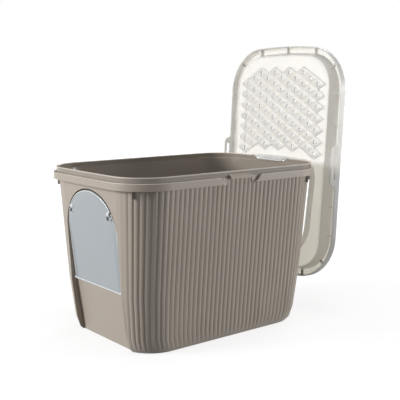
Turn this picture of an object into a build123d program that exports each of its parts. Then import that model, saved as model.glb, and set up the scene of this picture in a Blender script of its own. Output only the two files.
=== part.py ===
from build123d import *
from math import asin, cos, degrees, radians, sin, sqrt, tan
import os

# Top entry litter box: a fluted tub with a swing flap in one end, and a perforated lid
# that hangs by its entry collar on the rim of the other end. Millimetres, +Z up, the
# flap end towards -X, the origin at the middle of the base.

# --- tub: overall form -------------------------------------------------------------
rim_top_z = 395.2
ledge_z = 382.4
skirt_bottom_z = 367.5
collar_half_length = 282.5
collar_half_width = 194.8
collar_radius = 82.0
collar_wall = 2.4
end_radius = 4000.0
skirt_overhang = 9.2
skirt_radius = 98.0
skirt_wall = 2.6
ledge_thickness = 3.0

wall = 2.8
floor_thickness = 3.4
base_half_length = 257.6
base_half_width = 159.9
base_corner_radius = 76.0
wall_corner_radius = 88.0
wall_top_gap = 6.0
end_round_height = 130.0
end_round_inset = 18.0
side_round_height = 16.0
side_round_inset = 4.0

# --- tub: flutes -------------------------------------------------------------------
flute_pitch = 12.77
flute_land = 5.2
flute_depth = 1.9
side_flutes = 28
corner_flutes = 11
fading_flutes = 3
flute_fade_height = 26.0
flute_floor_depth = 0.3
wall_levels = (0.0, 7.0, 32.0, 130.0)
cavity_levels = (0.0, 32.0, 80.0, 130.0, 190.0, 250.0, 270.0, 290.0, 310.0, 330.0)

# --- tub: niche and flap opening in the -X end -------------------------------------
niche_half_width = 108.0
niche_spring_z = 257.0
niche_shoulder_radius = 98.0
niche_top_z = 357.0
niche_floor_x = -230.0
niche_sill_x = -249.0
niche_head_x = -266.5
sill_z = 128.8
opening_margin = 1.0

# --- flap and its pins --------------------------------------------------------------
flap_gap = 3.4
flap_sill_gap = 2.4
flap_lean = 6.3
flap_axis_x = -269.6
flap_axis_z = 309.0
flap_sheet = 2.2
flap_border = 16.0
flap_dome = 3.0
flap_corner_radius = 7.0
flap_lip_height = 3.6
flap_lip_proud = 4.6
pin_radius = 2.6
pin_clearance = 0.05
pin_reach = 20.0
pin_root = 1.5
eye_radius = 6.2
eye_width = 11.0
eye_end_gap = 1.5
strap_overlap = 1.5
eye_window_above = 5.0
eye_window_below = 14.0

# --- how far cutting shapes run past what they cut ------------------------------------
overcut = 1.0
cut_reach = 20.0

# --- tub: latch bays, notch and corner ribs ------------------------------------------
bay_half_top = 68.0
bay_half_bottom = 43.0
bay_wall_proud = 1.9
catch_half_length = 31.0
catch_low_z = 378.5
catch_face_z = 384.0
catch_high_z = 388.0
catch_reach = 8.6
post_inner = 36.0
post_outer = 50.0
post_proud = 2.4
notch_half_bottom = 49.0
notch_half_top = 66.0
notch_depth = 8.2
rib_thickness = 2.4
rib_height = 17.0
rib_proud = 5.6
rib_turns = (34.5, 66.0)

# --- lid ----------------------------------------------------------------------------
lid_lean = 3.44
lid_stand_off = 20.6
lid_hang = 11.2
lid_end_overhang = 8.6
lid_radius = 116.0
lid_end_radius = 1500.0
lid_wall = 2.6
lid_rise = 18.6
lid_edge_chamfer = 3.0
channel_side = 19.0
channel_end = 17.0
dish_side_slope = 17.0
dish_end_slope = 7.0
dish_below = 5.0

entry_top_u = 10.8
entry_arch = 5.0
entry_bottom_u = -250.0
entry_top_half_width = 142.0
entry_bottom_half_width = 126.0
entry_top_radius = 46.0
entry_bottom_radius = 96.0
entry_draft = 17.0
entry_depth = 19.0
hook_depth = 37.0
hook_half_width = 44.0
hook_lift = 0.4

hole_length = 9.6
hole_width = 8.2
hole_rows = 15
hole_pitch_u = 14.7
hole_pitch_v = 52.2
hole_first_u = 231.6

loop_half_base = 60.0
loop_half_tip = 38.0
loop_drop = 19.5
loop_slot_half = 34.0
loop_slot_top = -2.4
loop_slot_bottom = -11.6

channel_rib_height = 8.0
channel_rib_thickness = 2.2
end_rib_v = (-100.0, 0.0, 100.0)
side_rib_u = (104.0, 178.0)
corner_rib_turn = 50.0

wall_top_z = ledge_z - ledge_thickness
skirt_half_length = collar_half_length + skirt_overhang
skirt_half_width = collar_half_width + skirt_overhang
jamb_y = (niche_half_width - niche_shoulder_radius
          + sqrt(niche_shoulder_radius ** 2 - (flap_axis_z - niche_spring_z) ** 2))
lid_half_length = skirt_half_length + lid_end_overhang
lid_half_width = skirt_half_width
lid_centre_x = skirt_half_length + lid_stand_off
lid_centre_z = rim_top_z - lid_hang
outside_x = -skirt_half_length - cut_reach
niche_reach = niche_floor_x - outside_x + cut_reach


def end_face(half_length, half_width, radius, crown):
    """Plan outline: straight sides, tangent corner arcs and bowed ends of radius crown."""
    hub = half_length - crown
    centre_y = half_width - radius
    centre_x = hub + sqrt((crown - radius) ** 2 - centre_y ** 2)
    turn = asin(centre_y / (crown - radius))
    bend = (turn + radians(90)) / 2
    with BuildSketch() as face:
        with BuildLine() as quarter:
            Line((0, half_width), (centre_x, half_width))
            ThreePointArc(
                (centre_x, half_width),
                (centre_x + radius * cos(bend), centre_y + radius * sin(bend)),
                (hub + crown * cos(turn), crown * sin(turn)),
            )
            ThreePointArc(
                (hub + crown * cos(turn), crown * sin(turn)),
                (hub + crown * cos(turn / 2), crown * sin(turn / 2)),
                (half_length, 0),
            )
            mirror(quarter.line, about=Plane.XZ)
            mirror(quarter.line, about=Plane.YZ)
        make_face()
    return face.sketch


def skirt_face(inset):
    """Outline of the rim's skirt, drawn in by inset."""
    return end_face(skirt_half_length - inset, skirt_half_width - inset,
                    skirt_radius - inset, end_radius)


def round_off(height, inset, z):
    """How far the wall draws in at height z, along a quarter ellipse at its foot."""
    if z >= height:
        return 0.0
    return inset * (1 - sqrt(1 - (1 - z / height) ** 2))


def wall_plan(z):
    """Half length, half width and corner radius of the tub wall at height z."""
    rise = z / wall_top_z
    top_half_length = collar_half_length - wall_top_gap
    half_length = base_half_length + (top_half_length - base_half_length) * rise
    half_width = base_half_width + (collar_half_width - base_half_width) * rise
    radius = base_corner_radius + (wall_corner_radius - base_corner_radius) * rise
    half_length -= round_off(end_round_height, end_round_inset, z)
    half_width -= round_off(side_round_height, side_round_inset, z)
    return half_length, half_width, radius


def fluted_face(z):
    """Plan outline of the wall at height z: raised flat-topped flutes between sharp valleys."""
    half_length, half_width, radius = wall_plan(z)
    hub = half_length - end_radius
    centre_y = half_width - radius
    centre_x = hub + sqrt((end_radius - radius) ** 2 - centre_y ** 2)
    sweep_angle = radians(90) - asin(centre_y / (end_radius - radius))
    side_end = min(side_flutes / 2 * flute_pitch, centre_x)
    straight = centre_x - side_end
    corner_run = straight + radius * sweep_angle
    depth = flute_depth
    if z < flute_fade_height:
        depth = flute_floor_depth + (flute_depth - flute_floor_depth) * z / flute_fade_height
    flank_share = (1 - flute_land / flute_pitch) / 2

    def side_point(distance, rise):
        """Point on the straight side, raised outwards by rise."""
        return distance, half_width + rise

    def corner_point(distance, rise):
        """Point a distance past the last side flute, raised outwards by rise."""
        if distance <= straight:
            return side_end + distance, half_width + rise
        turn = (distance - straight) / radius
        return centre_x + (radius + rise) * sin(turn), centre_y + (radius + rise) * cos(turn)

    points = [(0, half_width)]
    pitch = side_end / (side_flutes // 2)
    for i in range(side_flutes // 2):
        points.append(side_point((i + flank_share) * pitch, depth))
        points.append(side_point((i + 1 - flank_share) * pitch, depth))
        points.append(side_point((i + 1) * pitch, 0))
    pitch = corner_run / corner_flutes
    for i in range(corner_flutes):
        fade = min(1.0, (corner_flutes - i) / (fading_flutes + 1))
        points.append(corner_point((i + flank_share) * pitch, depth * fade))
        points.append(corner_point((i + 1 - flank_share) * pitch, depth * fade))
        points.append(corner_point((i + 1) * pitch, 0))
    last = points[-1]
    half_turn = asin(last[1] / end_radius) / 2
    with BuildSketch() as face:
        with BuildLine() as outline:
            Polyline(*points)
            ThreePointArc(last, (hub + end_radius * cos(half_turn), end_radius * sin(half_turn)),
                          (half_length, 0))
            mirror(outline.line, about=Plane.XZ)
            mirror(outline.line, about=Plane.YZ)
        make_face()
    return face.sketch


def arch_face(inset, bottom):
    """Three-centred arch in (y, z), drawn in by inset from the niche's edge."""
    half_width = niche_half_width - inset
    shoulder = niche_shoulder_radius - inset
    top = niche_top_z - inset
    centre_y = half_width - shoulder
    drop = top - shoulder
    crown_z = (drop ** 2 - niche_spring_z ** 2 - centre_y ** 2) / (2 * (drop - niche_spring_z))
    crown = top - crown_z
    lean = asin(centre_y / (crown - shoulder))
    meet = (crown * sin(lean), crown_z + crown * cos(lean))
    middle = (radians(90) - lean) / 2
    with BuildSketch() as face:
        with BuildLine() as half:
            Line((0, bottom), (half_width, bottom))
            Line((half_width, bottom), (half_width, niche_spring_z))
            ThreePointArc(
                (half_width, niche_spring_z),
                (centre_y + shoulder * cos(middle), niche_spring_z + shoulder * sin(middle)),
                meet,
            )
            ThreePointArc(meet, (crown * sin(lean / 2), crown_z + crown * cos(lean / 2)), (0, top))
            mirror(half.line, about=Plane.YZ)
        make_face()
    return face.sketch


def niche_back(shift):
    """Profile in (x, z) of the space in front of the niche's back, moved in by shift."""
    head_slope = (niche_head_x - niche_sill_x) / (niche_top_z - sill_z)
    above = rim_top_z - sill_z
    with BuildSketch() as face:
        with BuildLine():
            Polyline(
                (outside_x, -cut_reach), (niche_floor_x + shift, -cut_reach), (niche_floor_x + shift, 0),
                (niche_sill_x + shift, sill_z), (niche_sill_x + shift + head_slope * above, rim_top_z),
                (outside_x, rim_top_z), close=True,
            )
        make_face()
    return face.sketch


end_plane = Plane(origin=(outside_x, 0, 0), x_dir=(0, 1, 0), z_dir=(1, 0, 0))
side_plane = Plane(origin=(0, -collar_half_width, 0), x_dir=(1, 0, 0), z_dir=(0, -1, 0))


def niche_space(margin):
    """The niche as a solid, grown by margin on every side."""
    with BuildPart() as space:
        with BuildSketch(end_plane):
            add(arch_face(-margin, -cut_reach))
        extrude(amount=niche_reach)
        with BuildSketch(side_plane):
            add(niche_back(margin))
        extrude(amount=-2 * collar_half_width, mode=Mode.INTERSECT)
    return space.part


def bay_plane(side, proud):
    """Upright plane facing out from the collar's long side, proud of it by that much."""
    return Plane(origin=(0, side * (collar_half_width + proud), 0), x_dir=(-side, 0, 0),
                 z_dir=(0, side, 0))


def draw_sweep(low, high):
    """S-curve of two equal arcs, level at both ends, in the open line."""
    middle = ((low[0] + high[0]) / 2, (low[1] + high[1]) / 2)
    TangentArc(high, middle, tangent=(-1, 0))
    TangentArc(low, middle, tangent=(1, 0))


def bay_cut():
    """Half of the opening that the S-curve leaves above it in the skirt."""
    with BuildSketch() as face:
        with BuildLine():
            draw_sweep((bay_half_bottom, skirt_bottom_z), (bay_half_top, ledge_z))
            Polyline(
                (bay_half_bottom, skirt_bottom_z), (bay_half_bottom, skirt_bottom_z - overcut),
                (0, skirt_bottom_z - overcut), (0, ledge_z + overcut),
                (bay_half_top, ledge_z + overcut), (bay_half_top, ledge_z),
            )
        make_face()
        mirror(about=Plane.YZ)
    return face.sketch


def bay_sweep():
    """The ledge's own thickness, carried down along the S-curve on both sides of the bay."""
    with BuildSketch() as face:
        with BuildLine():
            draw_sweep((bay_half_bottom, skirt_bottom_z), (bay_half_top, ledge_z))
            Line((bay_half_bottom, skirt_bottom_z), (bay_half_bottom + ledge_thickness, skirt_bottom_z))
            draw_sweep((bay_half_bottom + ledge_thickness, skirt_bottom_z), (bay_half_top, wall_top_z))
            Line((bay_half_top, wall_top_z), (bay_half_top, ledge_z))
        make_face()
        mirror(about=Plane.YZ)
    return face.sketch


# --- tub -----------------------------------------------------------------------------
with BuildPart() as cavity:
    for level in (*cavity_levels, ledge_z - floor_thickness):
        half_length, half_width, radius = wall_plan(level)
        with BuildSketch(Plane.XY.offset(level + floor_thickness)):
            add(end_face(half_length - wall, half_width - wall, radius - wall, end_radius))
    loft(ruled=True)
    with BuildSketch(Plane.XY.offset(ledge_z)):
        add(end_face(collar_half_length - collar_wall, collar_half_width - collar_wall,
                     collar_radius - collar_wall, end_radius))
    extrude(amount=rim_top_z - ledge_z + overcut)
    add(niche_space(wall), mode=Mode.SUBTRACT)

with BuildPart() as tub:
    for level in (*wall_levels, wall_top_z):
        with BuildSketch(Plane.XY.offset(level)):
            add(fluted_face(level))
    loft(ruled=True)

    # Rim: a flat ledge with a thin skirt hanging from it and the collar standing on it.
    with BuildSketch(Plane.XY.offset(wall_top_z)):
        add(skirt_face(0))
    extrude(amount=ledge_thickness)
    with BuildSketch(Plane.XY.offset(skirt_bottom_z)):
        add(skirt_face(0))
        add(skirt_face(skirt_wall), mode=Mode.SUBTRACT)
    extrude(amount=wall_top_z - skirt_bottom_z)
    with BuildSketch(Plane.XY.offset(ledge_z)):
        add(end_face(collar_half_length, collar_half_width, collar_radius, end_radius))
    extrude(amount=rim_top_z - ledge_z)

    # Latch bays: at mid-length the ledge sweeps down in an S to the skirt's lower edge.
    post_x = (post_inner + post_outer) / 2
    post_z = (skirt_bottom_z + ledge_z) / 2
    for side in (1, -1):
        with BuildSketch(bay_plane(side, bay_wall_proud)):
            add(bay_cut())
        extrude(amount=2 * skirt_overhang, mode=Mode.SUBTRACT)
        with BuildSketch(bay_plane(side, -collar_wall)):
            add(bay_sweep())
        extrude(amount=skirt_overhang + collar_wall)
        with BuildSketch(bay_plane(side, -collar_wall)):
            with Locations((post_x, post_z), (-post_x, post_z)):
                Rectangle(post_outer - post_inner, ledge_z - skirt_bottom_z)
        extrude(amount=post_proud + collar_wall)
    with BuildSketch(Plane.YZ):
        with BuildLine():
            Polyline(
                (collar_half_width - collar_wall, catch_low_z),
                (collar_half_width + catch_reach, catch_low_z),
                (collar_half_width + catch_reach, catch_face_z),
                (collar_half_width, catch_high_z),
                (collar_half_width - collar_wall, catch_high_z), close=True,
            )
        make_face()
        mirror(about=Plane.YZ)
    extrude(amount=catch_half_length, both=True)

    # Two short ribs under the skirt at every corner.
    half_length, half_width, radius = wall_plan(skirt_bottom_z)
    rib_length = rib_proud + wall
    rib_middle = radius + rib_proud - rib_length / 2
    with BuildSketch(Plane.XY.offset(skirt_bottom_z - rib_height)):
        for turn in rib_turns:
            rib_x = half_length - radius + rib_middle * cos(radians(turn))
            rib_y = half_width - radius + rib_middle * sin(radians(turn))
            with Locations(Location((rib_x, rib_y, 0), (0, 0, turn))):
                Rectangle(rib_length, rib_thickness)
        mirror(about=Plane.XZ)
        mirror(about=Plane.YZ)
    extrude(amount=wall_top_z - skirt_bottom_z + rib_height + ledge_thickness / 2)

    add(niche_space(0), mode=Mode.SUBTRACT)
    add(cavity.part, mode=Mode.SUBTRACT)
    with BuildSketch(end_plane):
        add(arch_face(opening_margin, sill_z))
    extrude(amount=niche_reach, mode=Mode.SUBTRACT)

    # Notch in the +X rim, where the hung lid's hook passes over.
    notch_wide = notch_half_top + overcut * (notch_half_top - notch_half_bottom) / notch_depth
    with BuildSketch(Plane.YZ.offset(collar_half_length)):
        with BuildLine():
            Polyline(
                (notch_half_bottom, rim_top_z - notch_depth), (notch_wide, rim_top_z + overcut),
                (-notch_wide, rim_top_z + overcut), (-notch_half_bottom, rim_top_z - notch_depth),
                close=True,
            )
        make_face()
    extrude(amount=cut_reach, both=True, mode=Mode.SUBTRACT)

    # Pins for the flap, standing in from the niche's jambs.
    for side in (1, -1):
        with BuildSketch(Plane(origin=(flap_axis_x, side * (jamb_y + pin_root), flap_axis_z),
                               z_dir=(0, -side, 0))):
            Circle(pin_radius)
        extrude(amount=pin_root + pin_reach)

# --- flap ----------------------------------------------------------------------------
lean = radians(flap_lean)
flap_plane = Plane(
    origin=(flap_axis_x + flap_axis_z * sin(lean), 0, flap_axis_z * (1 - cos(lean))),
    x_dir=(0, -1, 0), z_dir=(-cos(lean), 0, -sin(lean)),
)
flap_bottom = sill_z + flap_sill_gap
flap_front = flap_sheet / 2

with BuildPart() as flap:
    with BuildSketch(flap_plane.offset(-flap_sheet / 2)):
        add(arch_face(flap_gap, flap_bottom))
    extrude(amount=flap_sheet)
    with BuildSketch(flap_plane.offset(flap_front)):
        add(arch_face(flap_gap, flap_bottom))
    with BuildSketch(flap_plane.offset(flap_front + flap_dome)):
        add(arch_face(flap_gap + flap_border, flap_bottom))
    loft(ruled=True)
    with BuildSketch(flap_plane.offset(-flap_sheet / 2)):
        add(arch_face(flap_gap + flap_sheet, flap_bottom + flap_lip_height))
    with BuildSketch(flap_plane.offset(flap_front + flap_dome - flap_sheet)):
        add(arch_face(flap_gap + flap_sheet + flap_border, flap_bottom + flap_lip_height))
    loft(ruled=True, mode=Mode.SUBTRACT)
    with BuildSketch(flap_plane.offset(-flap_sheet / 2)):
        with Locations((0, flap_bottom + flap_lip_height / 2)):
            Rectangle(2 * (niche_half_width - flap_gap), flap_lip_height)
    extrude(amount=flap_sheet + flap_lip_proud)
    with BuildSketch(flap_plane) as rounded:
        add(arch_face(flap_gap, flap_bottom))
        fillet(rounded.vertices().group_by(Axis.Y)[0], flap_corner_radius)
    extrude(amount=cut_reach, both=True, mode=Mode.INTERSECT)

    # Eyes on the pins: a window in the border at each side, bridged by a strap that bears the eye.
    eye_out = jamb_y - pin_reach + eye_end_gap + eye_width
    window_in = jamb_y - pin_reach - eye_end_gap
    window_height = eye_window_above + eye_window_below
    window_centre_z = flap_axis_z + (eye_window_above - eye_window_below) / 2
    for side in (1, -1):
        with BuildSketch(Plane.YZ.offset(flap_axis_x)):
            with Locations((side * (window_in + niche_half_width) / 2, window_centre_z)):
                Rectangle(niche_half_width - window_in, window_height)
        extrude(amount=cut_reach, both=True, mode=Mode.SUBTRACT)
        with BuildSketch(flap_plane.offset(-flap_sheet / 2)):
            with Locations((-side * (eye_out - eye_width / 2), window_centre_z)):
                Rectangle(eye_width, window_height + 2 * strap_overlap)
        extrude(amount=flap_sheet)
        eye_plane = Plane(origin=(flap_axis_x, side * eye_out, flap_axis_z), z_dir=(0, -side, 0))
        with BuildSketch(eye_plane):
            Circle(eye_radius)
        extrude(amount=eye_width)
        with BuildSketch(eye_plane):
            Circle(pin_radius + pin_clearance)
        extrude(amount=eye_width, mode=Mode.SUBTRACT)

# --- lid ------------------------------------------------------------------------------
hang = radians(lid_lean)
lid_plane = Plane(origin=(lid_centre_x, 0, lid_centre_z), x_dir=(sin(hang), 0, cos(hang)),
                  z_dir=(cos(hang), 0, -sin(hang)))
crest_under = lid_rise - lid_wall
platform_top = lid_wall - dish_below
entry_slope = tan(radians(entry_draft))


def lid_section(v):
    """Plane across the lid at v from its middle, its own y pointing out of the lid's top."""
    return Plane(origin=lid_plane.origin + lid_plane.y_dir * v, x_dir=lid_plane.x_dir,
                 z_dir=-lid_plane.y_dir)


def lid_face(side_inset, end_inset):
    """Lid outline, drawn in from its sides and ends."""
    return end_face(lid_half_length - end_inset, lid_half_width - side_inset,
                    lid_radius - side_inset, lid_end_radius)


def dish(inset, low, high):
    """The tapered middle of the lid between two levels, drawn in by inset."""
    with BuildPart() as plug:
        with BuildSketch(lid_plane.offset(low)):
            add(lid_face(channel_side + dish_side_slope + inset, channel_end + dish_end_slope + inset))
        with BuildSketch(lid_plane.offset(high)):
            add(lid_face(channel_side + inset, channel_end + inset))
        loft(ruled=True)
    return plug.part


def entry_face(grow):
    """The entry hole's outline at the lip's level, grown by a distance."""
    with BuildSketch() as face:
        with BuildLine():
            ThreePointArc((entry_top_u - entry_arch, -entry_top_half_width), (entry_top_u, 0),
                          (entry_top_u - entry_arch, entry_top_half_width))
            Polyline((entry_top_u - entry_arch, entry_top_half_width),
                     (entry_bottom_u, entry_bottom_half_width),
                     (entry_bottom_u, -entry_bottom_half_width),
                     (entry_top_u - entry_arch, -entry_top_half_width))
        make_face()
        corners = face.vertices().group_by(Axis.X)
        fillet(corners[-1], entry_top_radius)
        fillet(face.vertices().group_by(Axis.X)[0], entry_bottom_radius)
        offset(amount=grow)
    return face.sketch


def entry_funnel(grow, low, high):
    """The entry's tapered passage between two levels, its walls grown outwards."""
    with BuildPart() as funnel:
        with BuildSketch(lid_plane.offset(low)):
            add(entry_face(grow + low * entry_slope))
        with BuildSketch(lid_plane.offset(high)):
            add(entry_face(grow + high * entry_slope))
        loft(ruled=True)
    return funnel.part


def loop_face():
    """Side view of a clip loop: S-shoulders from the lid's lip down to a level bar."""
    with BuildSketch() as face:
        with BuildLine():
            draw_sweep((loop_half_tip, -loop_drop), (loop_half_base, 0))
            Polyline((loop_half_base, 0), (loop_half_base, lid_wall), (0, lid_wall), (0, -loop_drop),
                     (loop_half_tip, -loop_drop))
        make_face()
        mirror(about=Plane.YZ)
        with Locations((0, (loop_slot_top + loop_slot_bottom) / 2)):
            Rectangle(2 * loop_slot_half, loop_slot_top - loop_slot_bottom, mode=Mode.SUBTRACT)
    return face.sketch


with BuildPart() as channel:
    with BuildSketch(lid_plane):
        add(lid_face(lid_wall, lid_wall))
    extrude(amount=crest_under)
    add(dish(0, -dish_below, crest_under), mode=Mode.SUBTRACT)

with BuildPart() as lid:
    with BuildSketch(lid_plane):
        add(lid_face(0, 0))
    extrude(amount=lid_rise)
    crest_edges = lid.faces().sort_by(Axis(lid_plane.origin, lid_plane.z_dir))[-1].edges()
    chamfer(crest_edges, lid_edge_chamfer)
    add(channel.part, mode=Mode.SUBTRACT)

    # Cross ribs in the channel, before the dish closes their inner ends.
    rib_reach = channel_side + dish_side_slope / 2
    rib_inset = lid_wall / 2 + rib_reach / 2
    corner_hub = (lid_half_length - lid_radius, lid_half_width - lid_radius)
    corner_reach = lid_radius - rib_inset - lid_wall / 2
    turn = radians(corner_rib_turn)
    with BuildSketch(lid_plane.offset(crest_under - channel_rib_height)):
        for v in end_rib_v:
            bow = v ** 2 / (2 * lid_end_radius)
            with Locations((lid_half_length - bow - rib_inset, v)):
                Rectangle(rib_reach, channel_rib_thickness)
        with Locations(*[(u, lid_half_width - rib_inset) for u in side_rib_u]):
            Rectangle(channel_rib_thickness, rib_reach)
        with Locations(Location((corner_hub[0] + corner_reach * cos(turn),
                                 corner_hub[1] + corner_reach * sin(turn), 0),
                                (0, 0, corner_rib_turn))):
            Rectangle(rib_reach, channel_rib_thickness)
        mirror(about=Plane.XZ)
        mirror(about=Plane.YZ)
    extrude(amount=channel_rib_height)

    add(dish(0, -dish_below, crest_under))
    add(dish(lid_wall, platform_top, lid_rise), mode=Mode.SUBTRACT)
    add(entry_funnel(lid_wall, -entry_depth, platform_top))
    hook_root = lid_wall / 2 - dish_below
    root_u = entry_top_u + hook_lift + hook_root * entry_slope
    tip_u = entry_top_u + hook_lift - hook_depth * entry_slope
    with BuildSketch(lid_section(0)):
        with BuildLine():
            Polyline(
                (tip_u, -hook_depth), (root_u, hook_root), (root_u + lid_wall, hook_root),
                (tip_u + lid_wall, -hook_depth), close=True,
            )
        make_face()
    extrude(amount=hook_half_width, both=True)
    add(entry_funnel(0, -entry_depth - overcut, lid_rise), mode=Mode.SUBTRACT)

    # Litter holes: eight-sided ovals in staggered rows, fewer in the first and last.
    eighths = [radians(45 * (i + 0.5)) for i in range(8)]
    hole_points = [(hole_length / 2 * cos(a), hole_width / 2 * sin(a)) for a in eighths]
    with BuildSketch(lid_plane.offset(-dish_below - overcut)):
        for row in range(hole_rows):
            count = 5 + (row + 1) % 2
            columns = [(i - (count - 1) / 2) * hole_pitch_v for i in range(count)]
            if row == 0:
                columns = columns[1:-1]
            if row == hole_rows - 1:
                columns = [columns[0], columns[-1]]
            with Locations(*[(hole_first_u - row * hole_pitch_u, v) for v in columns]):
                Polygon(*hole_points)
    extrude(amount=lid_wall + 2 * overcut, mode=Mode.SUBTRACT)

    # Clip loops hanging from the lip at mid-length of both long sides.
    for side in (1, -1):
        with BuildSketch(lid_section(side * lid_half_width)):
            add(loop_face())
        extrude(amount=side * lid_wall)

pieces = {"tub": tub, "flap": flap, "lid": lid}
os.makedirs("parts", exist_ok=True)
for name, piece in pieces.items():
    piece.part.label = name
    export_step(piece.part, "parts/" + name + ".step")
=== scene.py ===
import math
import bpy
import bmesh
import numpy as np
from mathutils import Matrix, Vector


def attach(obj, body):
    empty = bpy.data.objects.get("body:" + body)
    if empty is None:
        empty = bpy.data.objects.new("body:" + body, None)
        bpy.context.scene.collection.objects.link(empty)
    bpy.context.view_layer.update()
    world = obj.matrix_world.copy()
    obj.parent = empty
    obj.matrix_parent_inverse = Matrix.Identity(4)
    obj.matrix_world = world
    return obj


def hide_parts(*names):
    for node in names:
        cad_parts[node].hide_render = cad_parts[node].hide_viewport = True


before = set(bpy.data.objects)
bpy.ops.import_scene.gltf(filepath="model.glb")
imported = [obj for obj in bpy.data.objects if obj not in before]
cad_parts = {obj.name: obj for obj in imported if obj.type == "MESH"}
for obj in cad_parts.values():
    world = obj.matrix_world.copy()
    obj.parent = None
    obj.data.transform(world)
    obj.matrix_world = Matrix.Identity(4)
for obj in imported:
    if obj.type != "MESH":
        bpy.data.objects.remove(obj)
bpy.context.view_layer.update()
print("frame loaded:", sorted(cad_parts))


# A shader node whose settings are its sockets' values or, failing that, its own properties.
def addNode(mat, kind, **settings):
    node = mat.node_tree.nodes.new(kind)
    for key, value in settings.items():
        if key in node.inputs:
            node.inputs[key].default_value = value
        else:
            setattr(node, key, value)
    return node


def link(mat, fromSocket, toSocket):
    mat.node_tree.links.new(fromSocket, toSocket)


# The larger of two factors, so that either kind of ray counts.
def eitherOf(mat, first, second):
    larger = addNode(mat, "ShaderNodeMath", operation="MAXIMUM")
    link(mat, first, larger.inputs[0])
    link(mat, second, larger.inputs[1])
    return larger.outputs[0]


# Moulded plastic: a slow drift between two tones, a fine grain in the gloss and a faint ripple.
def mouldedPlastic(name, look):
    mat = bpy.data.materials.new(name)
    mat.use_nodes = True
    shader = mat.node_tree.nodes["Principled BSDF"]
    shader.inputs["IOR"].default_value = look["ior"]
    shader.inputs["Coat Weight"].default_value = look["coat"]
    shader.inputs["Coat Roughness"].default_value = look["coatRoughness"]
    shader.inputs["Transmission Weight"].default_value = look["clear"]
    shader.inputs["Subsurface Weight"].default_value = look["milky"]
    shader.inputs["Subsurface Radius"].default_value = look["milkTint"]
    shader.inputs["Subsurface Scale"].default_value = look["milkDepth"]
    coords = addNode(mat, "ShaderNodeTexCoord")

    drift = addNode(mat, "ShaderNodeTexNoise", Scale=look["driftScale"],
                    Detail=look["driftDetail"])
    link(mat, coords.outputs["Object"], drift.inputs["Vector"])
    tone = addNode(mat, "ShaderNodeValToRGB")
    for stop, place, colour in zip(tone.color_ramp.elements, look["driftStops"],
                                   (look["shade"], look["colour"])):
        stop.position = place
        stop.color = (*colour, 1)
    link(mat, drift.outputs["Fac"], tone.inputs["Fac"])
    link(mat, tone.outputs["Color"], shader.inputs["Base Color"])

    grain = addNode(mat, "ShaderNodeTexNoise", Scale=look["grainScale"],
                    Detail=look["grainDetail"])
    link(mat, coords.outputs["Object"], grain.inputs["Vector"])
    spread = addNode(mat, "ShaderNodeMapRange")
    spread.inputs["To Min"].default_value = look["roughness"] - look["glossSpread"]
    spread.inputs["To Max"].default_value = look["roughness"] + look["glossSpread"]
    link(mat, grain.outputs["Fac"], spread.inputs["Value"])
    link(mat, spread.outputs["Result"], shader.inputs["Roughness"])
    bump = addNode(mat, "ShaderNodeBump", Strength=look["grain"], Distance=look["grainHeight"])
    link(mat, grain.outputs["Fac"], bump.inputs["Height"])
    link(mat, bump.outputs["Normal"], shader.inputs["Normal"])
    return mat


# A finished piece: the mesh holds its place, so the object stays at the origin.
def addPiece(name, mesh, mat):
    mesh.materials.clear()
    mesh.materials.append(mat)
    piece = bpy.data.objects.new(name, mesh)
    bpy.context.scene.collection.objects.link(piece)
    return piece


# Rounds the edges sharper than the limit and shades everything gentler as one smooth skin.
def softenEdges(piece, look):
    limit = math.radians(look["edgeAngle"])
    mesh = piece.data
    mesh.polygons.foreach_set("use_smooth", np.ones(len(mesh.polygons), bool))
    mesh.set_sharp_from_angle(angle=limit)
    bevel = piece.modifiers.new("roundedEdges", "BEVEL")
    bevel.width = look["edge"]
    bevel.segments = look["edgeSteps"]
    bevel.limit_method = "ANGLE"
    bevel.angle_limit = limit
    bevel.use_clamp_overlap = True
    bevel.harden_normals = True
    weighted = piece.modifiers.new("evenShading", "WEIGHTED_NORMAL")
    weighted.keep_sharp = True


weld = {"gap": 2e-6, "flatAngle": 0.6}  # points this close are one, faces this level are one


# A merged copy of a CAD node: doubles closed up and flat faces made whole.
def mergedCopy(node, name):
    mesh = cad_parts[node].data.copy()
    mesh.name = name
    work = bmesh.new()
    work.from_mesh(mesh)
    bmesh.ops.remove_doubles(work, verts=work.verts, dist=weld["gap"])
    bmesh.ops.dissolve_limit(work, angle_limit=math.radians(weld["flatAngle"]),
                             verts=work.verts, edges=work.edges)
    work.to_mesh(mesh)
    work.free()
    return mesh


leastEnd = 0.0004  # square of the share of its radius that a carried circle keeps at its ends


# A circle carried along a path, with both ends drawn in by a quarter ellipse:
# point = path + radius * end * (cos(turn) * normal + sin(turn) * side),
# with side square to path and normal. End is the root of 1 - (1 - run / radius) squared, where
# run is the distance from the nearer end and never counts as more than the radius.
def carriedCircle(path, normals, radius, around):
    along = np.gradient(path, axis=0)
    step = np.linalg.norm(np.diff(path, axis=0), axis=1)
    run = np.concatenate([[0.0], np.cumsum(step)])
    near = np.clip(np.minimum(run, run[-1] - run) / radius, 0, 1)
    end = np.sqrt(np.clip(1 - (1 - near) ** 2, leastEnd, 1))
    side = np.cross(along, normals)
    side /= np.linalg.norm(side, axis=1, keepdims=True)
    turn = 2 * np.pi * np.arange(around) / around
    cosine, sine = np.cos(turn)[None, :, None], np.sin(turn)[None, :, None]
    ring = cosine * normals[:, None] + sine * side[:, None]
    points = path[:, None] + radius * end[:, None, None] * ring
    index = np.arange(len(path) * around).reshape(len(path), around)
    after = np.roll(index, -1, axis=1)
    faces = np.stack([index[:-1], after[:-1], after[1:], index[1:]], axis=-1)
    return points.reshape(-1, 3), faces.reshape(-1, 4)


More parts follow.
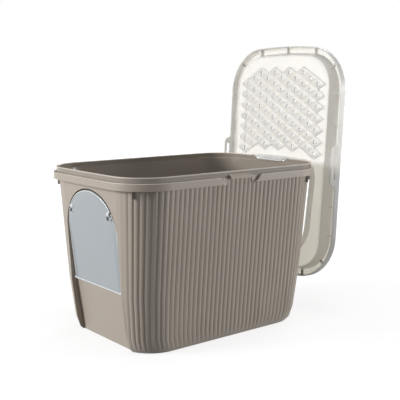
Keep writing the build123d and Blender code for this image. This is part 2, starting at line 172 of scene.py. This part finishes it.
# Several carried circles as one closed, smooth mesh: each open end gets a flat cap.
def tubesMesh(name, tubes, around):
    points, faces, start = [], [], 0
    for tubePoints, tubeFaces in tubes:
        points.append(tubePoints)
        faces.append(tubeFaces + start)
        start += len(tubePoints)
    mesh = bpy.data.meshes.new(name)
    mesh.from_pydata(np.concatenate(points), [], np.concatenate(faces))
    work = bmesh.new()
    work.from_mesh(mesh)
    bmesh.ops.holes_fill(work, edges=work.edges, sides=around)
    bmesh.ops.recalc_face_normals(work, faces=work.faces)
    work.to_mesh(mesh)
    work.free()
    mesh.polygons.foreach_set("use_smooth", np.ones(len(mesh.polygons), bool))
    return mesh


# What every moulded plastic here starts from. Lengths are in metres, angles in degrees.
plasticBase = {
    "ior": 1.49, "roughness": 0.42, "glossSpread": 0.05, "coat": 0.0, "coatRoughness": 0.2,
    "clear": 0.0, "milky": 0.0, "milkTint": (1.0, 0.8, 0.6), "milkDepth": 0.003,
    "driftScale": 5.0, "driftDetail": 2.0, "driftStops": (0.3, 0.7),
    "grainScale": 900.0, "grainDetail": 3.0, "grainHeight": 0.0004, "grain": 0.05,
}

# The tub: a fluted taupe shell, grained outside, glossier inside and on the collar, where a
# darker colour is painted shade. A face gets this glossy, shaded finish where it turns towards
# the middle by more than turnedIn; level and upright are limits on the upward part of its
# normal.
tub = {
    **plasticBase, "colour": (0.425, 0.371, 0.316), "shade": (0.405, 0.351, 0.297),
    "edge": 0.0011, "edgeAngle": 45, "edgeSteps": 3,
    "glossAndShade": {**plasticBase, "colour": (0.30, 0.263, 0.225), "shade": (0.28, 0.245, 0.208),
                 "roughness": 0.2, "glossSpread": 0.03, "grain": 0.02},
    "turnedIn": 1e-4, "level": 0.9, "upright": 0.5, "collarFoot": 0.3824,
    "floorTop": 0.004, "footTop": 0.002, "nicheX": -0.231, "nicheHalfWidth": 0.1105,
}


# True for the walls that face inwards, apart from the niche's, for the floor's upper face and
# for the collar above the ledge: the faces that take the glossy finish with its painted shade.
def glossAndShadeFaces(mesh, spec):
    count = len(mesh.polygons)
    centre, normal = np.empty(count * 3), np.empty(count * 3)
    mesh.polygons.foreach_get("center", centre)
    mesh.polygons.foreach_get("normal", normal)
    centre, normal = centre.reshape(-1, 3), normal.reshape(-1, 3)
    height, facingUp = centre[:, 2], normal[:, 2]
    inward = (centre[:, :2] * normal[:, :2]).sum(1) < -spec["turnedIn"]
    inward |= (facingUp > spec["level"]) & (height < spec["floorTop"])
    niche = centre[:, 0] < spec["nicheX"]
    niche &= np.abs(centre[:, 1]) < spec["nicheHalfWidth"]
    collar = (height > spec["collarFoot"]) & (np.abs(facingUp) < spec["upright"])
    return (inward & ~niche & (height > spec["footTop"])) | collar


tubPlastic = mouldedPlastic("tubPlastic", tub)
tubShell = addPiece("tubShell", mergedCopy("tub", "tubShell"), tubPlastic)
# The second finish, for inward faces and the collar: glossier, and darker as painted shade.
tubShell.data.materials.append(mouldedPlastic("tubGlossAndShade", tub["glossAndShade"]))
glossAndShade = glossAndShadeFaces(tubShell.data, tub)
tubShell.data.polygons.foreach_set("material_index", glossAndShade.astype(np.int32))
softenEdges(tubShell, tub)
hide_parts("tub")
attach(tubShell, "tub_body")
print("tub dressed")

# Rounded edges: a bead on the rim's top and one along each half of the ledge, coloured lighter
# than the tub as a painted highlight. Crown is the radius of the bowed ends, and the rim's bead
# stops short of its notch.
highlightBeads = {
    **plasticBase, "colour": (0.58, 0.53, 0.472), "shade": (0.55, 0.50, 0.442),
    "roughness": 0.34, "glossSpread": 0.03, "grain": 0.03, "crown": 4.0,
    "rim": {"halfLength": 0.2825, "halfWidth": 0.1948, "radius": 0.082},
    "rimIn": 0.0012, "rimHeight": 0.3942, "rimBead": 0.0017, "notchHalf": 0.069,
    "ledge": {"halfLength": 0.2917, "halfWidth": 0.204, "radius": 0.098},
    "ledgeIn": 0.0014, "ledgeHeight": 0.3823, "ledgeBead": 0.0013,
    "bayHalf": (0.043, 0.068), "bayLow": 0.3674, "baySteps": 8, "around": 12, "steps": 40,
}


# A quarter of the outline, from the corner's start on the long side to a half-width of stop on
# the bowed end: two arcs that meet on the line through their centres, so their tangents agree.
def rimQuarter(form, crown, inset, stop, count):
    half, width = form["halfLength"] - inset, form["halfWidth"] - inset
    radius = form["radius"] - inset
    hub, level = half - crown, width - radius
    corner = hub + math.sqrt((crown - radius) ** 2 - level ** 2)
    turn = math.asin(level / (crown - radius))
    bend = np.linspace(np.pi / 2, turn, count)
    bow = np.linspace(turn, math.asin(stop / crown), count)[1:]
    return np.concatenate([
        np.stack([corner + radius * np.cos(bend), level + radius * np.sin(bend)], axis=1),
        np.stack([hub + crown * np.cos(bow), crown * np.sin(bow)], axis=1)])


# The ledge's drop into a latch bay: an S-curve of two equal arcs, whose radius is
# (reach squared + drop squared) / (2 drop) for half the S's reach and half its drop.
def baySweep(spec, across):
    low, high = spec["bayHalf"]
    foot, head = spec["bayLow"], spec["ledgeHeight"]
    reach, drop = (high - low) / 2, (head - foot) / 2
    arc = (reach ** 2 + drop ** 2) / (2 * drop)
    bend = np.linspace(0, math.asin(reach / arc), spec["baySteps"])
    forward, rise = arc * np.sin(bend), arc * (1 - np.cos(bend))
    along = np.concatenate([low + forward, high - forward[-2::-1]])
    height = np.concatenate([foot + rise, head - rise[-2::-1]])
    return np.column_stack([along, np.full(len(along), across), height])


# Each bead is a circle carried along half the outline or more, the other half its mirror.
def rimBeadMesh(spec):
    crown, count = spec["crown"], spec["steps"]
    flip, back = np.array([1.0, -1.0, 1.0]), np.array([-1.0, 1.0, 1.0])

    def quarter(form, inset, stop, height):
        plan = rimQuarter(form, crown, inset, stop, count)
        return np.column_stack([plan, np.full(len(plan), height)])

    notchEnd = quarter(spec["rim"], spec["rimIn"], spec["notchHalf"], spec["rimHeight"])
    farEnd = quarter(spec["rim"], spec["rimIn"], 0.0, spec["rimHeight"]) * back
    straight = np.linspace(notchEnd[0], farEnd[0], count)[1:-1]
    left = np.concatenate([notchEnd[::-1], straight, farEnd])
    rimPath = np.concatenate([left, (left * flip)[-2::-1]])
    rimUp = np.tile([0.0, 0.0, 1.0], (len(rimPath), 1))

    ledge = quarter(spec["ledge"], spec["ledgeIn"], 0.0, spec["ledgeHeight"])
    sweep = baySweep(spec, ledge[0, 1])
    straight = np.linspace(sweep[-1], ledge[0], count)[1:-1]
    near = np.concatenate([sweep, straight, ledge])
    ledgePath = np.concatenate([near, (near * flip)[-2::-1]])
    along = np.gradient(ledgePath, axis=0)
    outwards = np.column_stack([ledgePath[:, :2], np.zeros(len(ledgePath))])
    ledgeUp = np.cross(np.cross(along, outwards), along)
    ledgeUp /= np.linalg.norm(ledgeUp, axis=1, keepdims=True)

    tubes = [carriedCircle(rimPath, rimUp, spec["rimBead"], spec["around"])]
    for side in (np.ones(3), back):
        tubes.append(carriedCircle(ledgePath * side, ledgeUp * side, spec["ledgeBead"],
                                   spec["around"]))
    return tubesMesh("rimHighlightBeads", tubes, spec["around"])


# The beads' lighter colour is a painted highlight along the rim and ledge.
rimHighlightBeads = addPiece("rimHighlightBeads", rimBeadMesh(highlightBeads), mouldedPlastic("tubPaintedHighlight", highlightBeads))
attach(rimHighlightBeads, "tub_body")
print("rim beaded")

# The lid: a cream shell hung by its entry collar, thin enough to glow a little from behind.
lid = {
    **plasticBase, "colour": (0.545, 0.538, 0.52), "shade": (0.525, 0.518, 0.50),
    "roughness": 0.4, "milky": 1.0, "milkTint": (1.0, 0.94, 0.82), "milkDepth": 0.021,
    "edge": 0.0011, "edgeAngle": 34, "edgeSteps": 3,
}
lidPlastic = mouldedPlastic("lidPlastic", lid)
lidShell = addPiece("lidShell", mergedCopy("lid", "lidShell"), lidPlastic)
softenEdges(lidShell, lid)
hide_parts("lid")
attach(lidShell, "lid_body")
print("lid dressed")

# The quilted relief round the litter holes: a plate of diamond cells, one round each hole.
# Up runs along the hung lid and across over its width, and steps are shares of the way from a
# hole's lip to its cell's side. A row holds columns up to reach each way, the first row only up
# to firstReach and the last only from lastFrom outwards.
quilt = {
    **lid, "colour": (0.62, 0.616, 0.60), "shade": (0.60, 0.596, 0.58), "milkDepth": 0.01,
    "centre": (0.3123, 0.0, 0.384), "lean": 3.44, "under": -0.005, "over": -0.0024,
    "firstRow": 0.2316, "pitchUp": 0.0147, "pitchAcross": 0.0261, "rows": 15, "reach": 5,
    "firstReach": 3, "lastFrom": 5, "holeHalf": (0.0046, 0.0039), "swell": 0.0015,
    "net": 0.0006, "lift": 0.00004, "sideStop": 0.146, "sideFade": 0.004,
    "steps": (0.0, 0.08, 0.2, 0.36, 0.54, 0.72, 0.87, 1.0), "sideSteps": 8,
    "edge": 0.0005, "edgeAngle": 40, "edgeSteps": 2,
}


# Staggered rows: holes at odd steps across in even rows, even steps in odd rows.
def holeCentres(spec):
    columns = np.arange(-spec["reach"], spec["reach"] + 1)
    row, column = np.meshgrid(np.arange(spec["rows"]), columns, indexing="ij")
    held = (row + column) % 2 == 1
    held &= ~((row == 0) & (np.abs(column) > spec["firstReach"]))
    held &= ~((row == spec["rows"] - 1) & (np.abs(column) < spec["lastFrom"]))
    return row[held], column[held]


# In each cell, with s and d running from -1 to 1 between its sides, the dome is
# cos(s pi / 2) * cos(d pi / 2). The plate swells by the dome below and rises to a net of ridges
# where the dome is nought above. A ring of the cell is a blend of the hole's ellipse and the
# cell's diamond.
def quiltMesh(spec):
    row, column = holeCentres(spec)
    across, up = spec["pitchAcross"], spec["pitchUp"]
    perSide = spec["sideSteps"]
    around = 4 * perSide
    share = np.arange(perSide) / perSide
    diamondUp = np.concatenate([1 - share, -share, share - 1, share])
    diamondAcross = np.concatenate([share, 1 - share, -share, share - 1])
    turn = 2 * np.pi * np.arange(around) / around
    step = np.array(spec["steps"])[:, None]
    holeUp, holeAcross = spec["holeHalf"]
    localUp = (1 - step) * holeUp * np.cos(turn) + step * up * diamondUp
    localAcross = (1 - step) * holeAcross * np.sin(turn) + step * across * diamondAcross
    s = localUp / up + localAcross / across
    d = localUp / up - localAcross / across
    cellUp = (spec["firstRow"] - row * up)[:, None, None] + localUp
    cellAcross = (column * across)[:, None, None] + localAcross
    dome = np.cos(s * np.pi / 2) * np.cos(d * np.pi / 2)
    dome = dome * np.clip((spec["sideStop"] - np.abs(cellAcross)) / spec["sideFade"], 0, 1)
    under = spec["under"] - spec["lift"] - spec["swell"] * dome
    over = spec["over"] + spec["lift"] + spec["net"] * (1 - dome)

    lean = math.radians(spec["lean"])
    upward = np.array([math.sin(lean), 0, math.cos(lean)])
    outward = np.array([math.cos(lean), 0, -math.sin(lean)])

    def place(height):
        flat = cellUp[..., None] * upward + cellAcross[..., None] * np.array([0, 1, 0])
        return (np.array(spec["centre"]) + flat + height[..., None] * outward).reshape(-1, 3)

    cells, rings = len(row), len(spec["steps"])
    index = np.arange(cells * rings * around).reshape(cells, rings, around)
    after = np.roll(index, -1, axis=2)
    total = index.size

    def quads(a, b, c, e):
        return np.stack([a, b, c, e], axis=-1).reshape(-1, 4)

    underFaces = quads(index[:, :-1], index[:, 1:], after[:, 1:], after[:, :-1])
    overFaces = quads(after[:, :-1], after[:, 1:], index[:, 1:], index[:, :-1]) + total
    holeFaces = quads(index[:, 0], after[:, 0], after[:, 0] + total, index[:, 0] + total)

    # A wall closes the plate along each cell side that has no neighbour beyond it.
    taken = set(zip(row.tolist(), column.tolist()))
    beyond = ((-1, 1), (1, 1), (1, -1), (-1, -1))
    free = np.array([[(r + i, c + j) not in taken for i, j in beyond]
                     for r, c in zip(row.tolist(), column.tolist())])
    rim = np.repeat(free, perSide, axis=1)
    low, lowNext = index[:, -1][rim], after[:, -1][rim]
    wallFaces = quads(lowNext, low, low + total, lowNext + total)

    mesh = bpy.data.meshes.new("lidQuilt")
    faces = np.concatenate([underFaces, overFaces, holeFaces, wallFaces])
    mesh.from_pydata(np.concatenate([place(under), place(over)]), [], faces)
    work = bmesh.new()
    work.from_mesh(mesh)
    bmesh.ops.remove_doubles(work, verts=work.verts, dist=weld["gap"])
    bmesh.ops.recalc_face_normals(work, faces=work.faces)
    work.to_mesh(mesh)
    work.free()
    return mesh


lidQuilt = addPiece("lidQuilt", quiltMesh(quilt), mouldedPlastic("quiltPlastic", quilt))
softenEdges(lidQuilt, quilt)
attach(lidQuilt, "lid_body")
print("lid quilt made:", len(lidQuilt.data.polygons), "faces")

# The flap: a milky blue-grey pane, clear enough for its edges to catch light.
flap = {
    **plasticBase, "colour": (0.47, 0.515, 0.54), "shade": (0.45, 0.495, 0.52), "ior": 1.5,
    "roughness": 0.3, "glossSpread": 0.03, "coat": 0.3, "coatRoughness": 0.12, "clear": 0.25,
    "grain": 0.03, "edge": 0.0006, "edgeAngle": 40, "edgeSteps": 2,
}
flapPlastic = mouldedPlastic("flapPlastic", flap)
flapPane = addPiece("flapPane", mergedCopy("flap", "flapPane"), flapPlastic)
softenEdges(flapPane, flap)
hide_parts("flap")
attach(flapPane, "flap_body")
print("flap dressed")

# The flap's trim: a bead round the arch, a rounded bar along the lip, bosses on the eyes, all
# coloured near white as a painted highlight on its edges and eyes.
# Heights run up the flap's own plane, In is measured from its edge and Out from the plane
# through the swing axis. The bead starts at beadStart of the lip's height.
highlightTrim = {
    **plasticBase, "colour": (0.84, 0.855, 0.86), "shade": (0.81, 0.825, 0.83), "ior": 1.5,
    "roughness": 0.2, "glossSpread": 0.03, "coat": 0.4, "coatRoughness": 0.1, "clear": 0.15,
    "grain": 0.02, "axis": (-0.2696, 0.0, 0.309), "lean": 6.3,
    "halfWidth": 0.1046, "bottom": 0.1312, "spring": 0.257, "shoulder": 0.0946, "top": 0.3536,
    "bead": 0.0017, "beadIn": 0.0018, "beadOut": 0.0012, "beadStart": 0.6, "beadSteps": 28,
    "bar": 0.0019, "barIn": 0.0018, "barOut": 0.0052, "barSteps": 10,
    "corner": 0.007, "lipHeight": 0.0036,
    "boss": 0.0068, "bossSides": (0.0698, 0.0862), "bossSteps": 24, "around": 16,
}


# Up one side, round its shoulder, over the flat crown and down the other side. The crown is an
# arc through the top that touches both shoulders, on the line through the two centres.
def archPath(spec):
    inset, count = spec["beadIn"], spec["beadSteps"]
    half, shoulder = spec["halfWidth"] - inset, spec["shoulder"] - inset
    top, spring = spec["top"] - inset, spec["spring"]
    centre, drop = half - shoulder, top - shoulder
    crownHub = (drop ** 2 - spring ** 2 - centre ** 2) / (2 * (drop - spring))
    crown = top - crownHub
    meet = np.arcsin(centre / (crown - shoulder))
    start = spec["bottom"] + spec["lipHeight"] * spec["beadStart"]
    rise = np.linspace(start, spring, count, endpoint=False)
    bend = np.linspace(0, np.pi / 2 - meet, count, endpoint=False)
    cap = np.linspace(meet, 0, count // 3)
    across = np.concatenate([np.full(count, half), centre + shoulder * np.cos(bend),
                             crown * np.sin(cap)])
    height = np.concatenate([rise, spring + shoulder * np.sin(bend),
                             crownHub + crown * np.cos(cap)])
    return np.concatenate([across, -across[-2::-1]]), np.concatenate([height, height[-2::-1]])


# Along the lip, turning up at each end round the flap's corner until it is a lip's height up.
def barPath(spec):
    count, radius = spec["barSteps"], spec["corner"] - spec["barIn"]
    hub, level = spec["halfWidth"] - spec["corner"], spec["bottom"] + spec["corner"]
    rise = math.acos(1 - spec["lipHeight"] / spec["corner"])
    bend = np.linspace(rise, 0, count)
    turned, dropped = radius * np.sin(bend), radius * np.cos(bend)
    straight = np.linspace(hub, -hub, 3 * count)[1:-1]
    across = np.concatenate([hub + turned, straight, -hub - turned[::-1]])
    low = np.full(len(straight), level - radius)
    height = np.concatenate([level - dropped, low, level - dropped[::-1]])
    return across, height


# Circles carried along the arch, the lip and the swing axis, laid in the flap's leaning plane:
# point = axis + height above it * upward + out * outward, and across along -Y.
def trimMesh(spec):
    lean = math.radians(spec["lean"])
    axis = np.array(spec["axis"])
    upward = np.array([-math.sin(lean), 0, math.cos(lean)])
    outward = np.array([-math.cos(lean), 0, -math.sin(lean)])

    def placed(across, height, out):
        flat = axis + (height - axis[2])[:, None] * upward + out * outward
        return flat + across[:, None] * np.array([0, -1, 0])

    def carried(path, normal, radius):
        return carriedCircle(path, np.tile(normal, (len(path), 1)), radius, spec["around"])

    tubes = [carried(placed(*archPath(spec), spec["beadOut"]), outward, spec["bead"]),
             carried(placed(*barPath(spec), spec["barOut"]), outward, spec["bar"])]
    for side in (1, -1):
        away = side * np.linspace(*spec["bossSides"], spec["bossSteps"])
        path = axis + away[:, None] * np.array([0.0, 1.0, 0.0])
        tubes.append(carried(path, upward, spec["boss"]))
    return tubesMesh("flapHighlightTrim", tubes, spec["around"])


# The trim's near-white colour is a painted highlight on the flap's edges and eyes.
flapHighlightTrim = addPiece("flapHighlightTrim", trimMesh(highlightTrim), mouldedPlastic("flapPaintedHighlight", highlightTrim))
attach(flapHighlightTrim, "flap_body")
print("flap trimmed")

# Pale floor: a grey matte that keeps the shadow, with a glow that only the camera, reflections
# and clear plastic see, rising to pure white from near to far.
ground = {"half": 30.0, "matte": 0.22, "lift": 0.8, "near": 0.7, "far": 2.2}


# A square sheet at the origin.
def sheetMesh(name, half):
    mesh = bpy.data.meshes.new(name)
    corners = [(-half, -half, 0), (half, -half, 0), (half, half, 0), (-half, half, 0)]
    mesh.from_pydata(corners, [], [(0, 1, 2, 3)])
    return mesh


# Surface = grey diffuse + white glow * seen * fade, where seen is 1 for those rays and fade
# climbs with the distance from the origin.
def whiteFloor(look):
    mat = bpy.data.materials.new("whiteFloor")
    mat.use_nodes = True
    mat.node_tree.nodes.clear()
    surface = addNode(mat, "ShaderNodeOutputMaterial")
    matte = addNode(mat, "ShaderNodeBsdfDiffuse")
    matte.inputs["Color"].default_value = (*[look["matte"]] * 3, 1)
    glow = addNode(mat, "ShaderNodeEmission")
    rays = addNode(mat, "ShaderNodeLightPath").outputs
    seen = eitherOf(mat, rays["Is Camera Ray"], rays["Is Glossy Ray"])
    seen = eitherOf(mat, seen, rays["Is Transmission Ray"])
    coords = addNode(mat, "ShaderNodeTexCoord")
    away = addNode(mat, "ShaderNodeVectorMath", operation="LENGTH")
    link(mat, coords.outputs["Object"], away.inputs[0])
    fade = addNode(mat, "ShaderNodeMapRange")
    fade.inputs["From Min"].default_value = look["near"]
    fade.inputs["From Max"].default_value = look["far"]
    fade.inputs["To Min"].default_value = look["lift"]
    link(mat, away.outputs["Value"], fade.inputs["Value"])
    strength = addNode(mat, "ShaderNodeMath", operation="MULTIPLY")
    link(mat, seen, strength.inputs[0])
    link(mat, fade.outputs["Result"], strength.inputs[1])
    link(mat, strength.outputs[0], glow.inputs["Strength"])
    both = addNode(mat, "ShaderNodeAddShader")
    link(mat, matte.outputs[0], both.inputs[0])
    link(mat, glow.outputs[0], both.inputs[1])
    link(mat, both.outputs[0], surface.inputs["Surface"])
    return mat


floor = addPiece("floor", sheetMesh("floor", ground["half"]), whiteFloor(ground))

# The surround: white to the camera and through clear plastic, dim in reflections and as light.
surround = {"glow": 0.105, "reflected": 0.12, "shown": 1.0}


# Strength = shown for camera and transmission rays, reflected for glossy ones, else glow.
def studioWorld(look):
    world = bpy.data.worlds.new("studioWorld")
    world.use_nodes = True
    sky = world.node_tree.nodes["Background"]
    sky.inputs["Color"].default_value = (1, 1, 1, 1)
    rays = addNode(world, "ShaderNodeLightPath").outputs
    seen = eitherOf(world, rays["Is Camera Ray"], rays["Is Transmission Ray"])
    dim = addNode(world, "ShaderNodeMapRange")
    dim.inputs["To Min"].default_value = look["glow"]
    dim.inputs["To Max"].default_value = look["reflected"]
    link(world, rays["Is Glossy Ray"], dim.inputs["Value"])
    strength = addNode(world, "ShaderNodeMapRange")
    strength.inputs["To Max"].default_value = look["shown"]
    link(world, seen, strength.inputs["Value"])
    link(world, dim.outputs["Result"], strength.inputs["To Min"])
    link(world, strength.outputs["Result"], sky.inputs["Strength"])
    return world


bpy.context.scene.world = studioWorld(surround)
print("floor and surround laid")

# Four softboxes: a main one from the left and behind, a fill at the right, one behind the lid
# that makes it glow, and one overhead. Angles are in degrees, round from the front (-Y)
# towards +X and up from the level; distances are in metres from the aim.
lampAim = (0.0, 0.0, 0.25)
lamps = {
    "leftLamp": {"round": -114, "up": 18, "far": 6.0, "wide": 2.4, "high": 2.2, "power": 350.0},
    "rightLamp": {"round": 54, "up": 8, "far": 5.0, "wide": 2.4, "high": 1.2, "power": 150.0},
    "backLamp": {"round": 112, "up": 14, "far": 5.0, "wide": 2.4, "high": 2.2, "power": 135.0},
    "topLamp": {"round": -30, "up": 80, "far": 4.0, "wide": 2.0, "high": 2.0, "power": 70.0},
}


# Unit vector: (sin(turn) cos(tilt), -cos(turn) cos(tilt), sin(tilt)).
def direction(roundAngle, upAngle):
    turn, tilt = math.radians(roundAngle), math.radians(upAngle)
    return Vector((math.sin(turn) * math.cos(tilt), -math.cos(turn) * math.cos(tilt),
                   math.sin(tilt)))


# A rectangle of light that faces the aim and doesn't show to the camera.
def softLamp(name, spec):
    data = bpy.data.lights.new(name, "AREA")
    data.shape = "RECTANGLE"
    data.energy = spec["power"]
    data.size = spec["wide"]
    data.size_y = spec["high"]
    lamp = bpy.data.objects.new(name, data)
    bpy.context.scene.collection.objects.link(lamp)
    away = direction(spec["round"], spec["up"])
    lamp.location = Vector(lampAim) + away * spec["far"]
    lamp.rotation_euler = away.to_track_quat("Z", "Y").to_euler()
    lamp.visible_camera = False


for name, spec in lamps.items():
    softLamp(name, spec)
print("studio lit")

# The camera stands at place, faces against the direction of its azimuth and elevation, and is
# rolled about it.
viewer = {"place": (-1.138268, -1.483653, 0.588467), "azimuth": -38.514, "elevation": 8.611,
          "roll": -0.073, "lens": 69.497, "sensor": 36.0, "reach": 200.0}


# Side and rise are square to back; rolled side = side cos(roll) + rise sin(roll).
def addCamera(spec):
    azimuth, roll = math.radians(spec["azimuth"]), math.radians(spec["roll"])
    back = direction(spec["azimuth"], spec["elevation"])
    side = Vector((math.cos(azimuth), math.sin(azimuth), 0))
    rise = back.cross(side)
    rolledSide = side * math.cos(roll) + rise * math.sin(roll)
    rolledRise = rise * math.cos(roll) - side * math.sin(roll)
    turned = Matrix((rolledSide, rolledRise, back)).transposed().to_4x4()
    data = bpy.data.cameras.new("camera")
    data.lens = spec["lens"]
    data.sensor_width = spec["sensor"]
    data.clip_end = spec["reach"]
    camera = bpy.data.objects.new("camera", data)
    bpy.context.scene.collection.objects.link(camera)
    camera.matrix_world = Matrix.Translation(spec["place"]) @ turned
    return camera


bpy.context.scene.camera = addCamera(viewer)
bpy.context.scene.view_settings.view_transform = "Standard"
print("camera set")
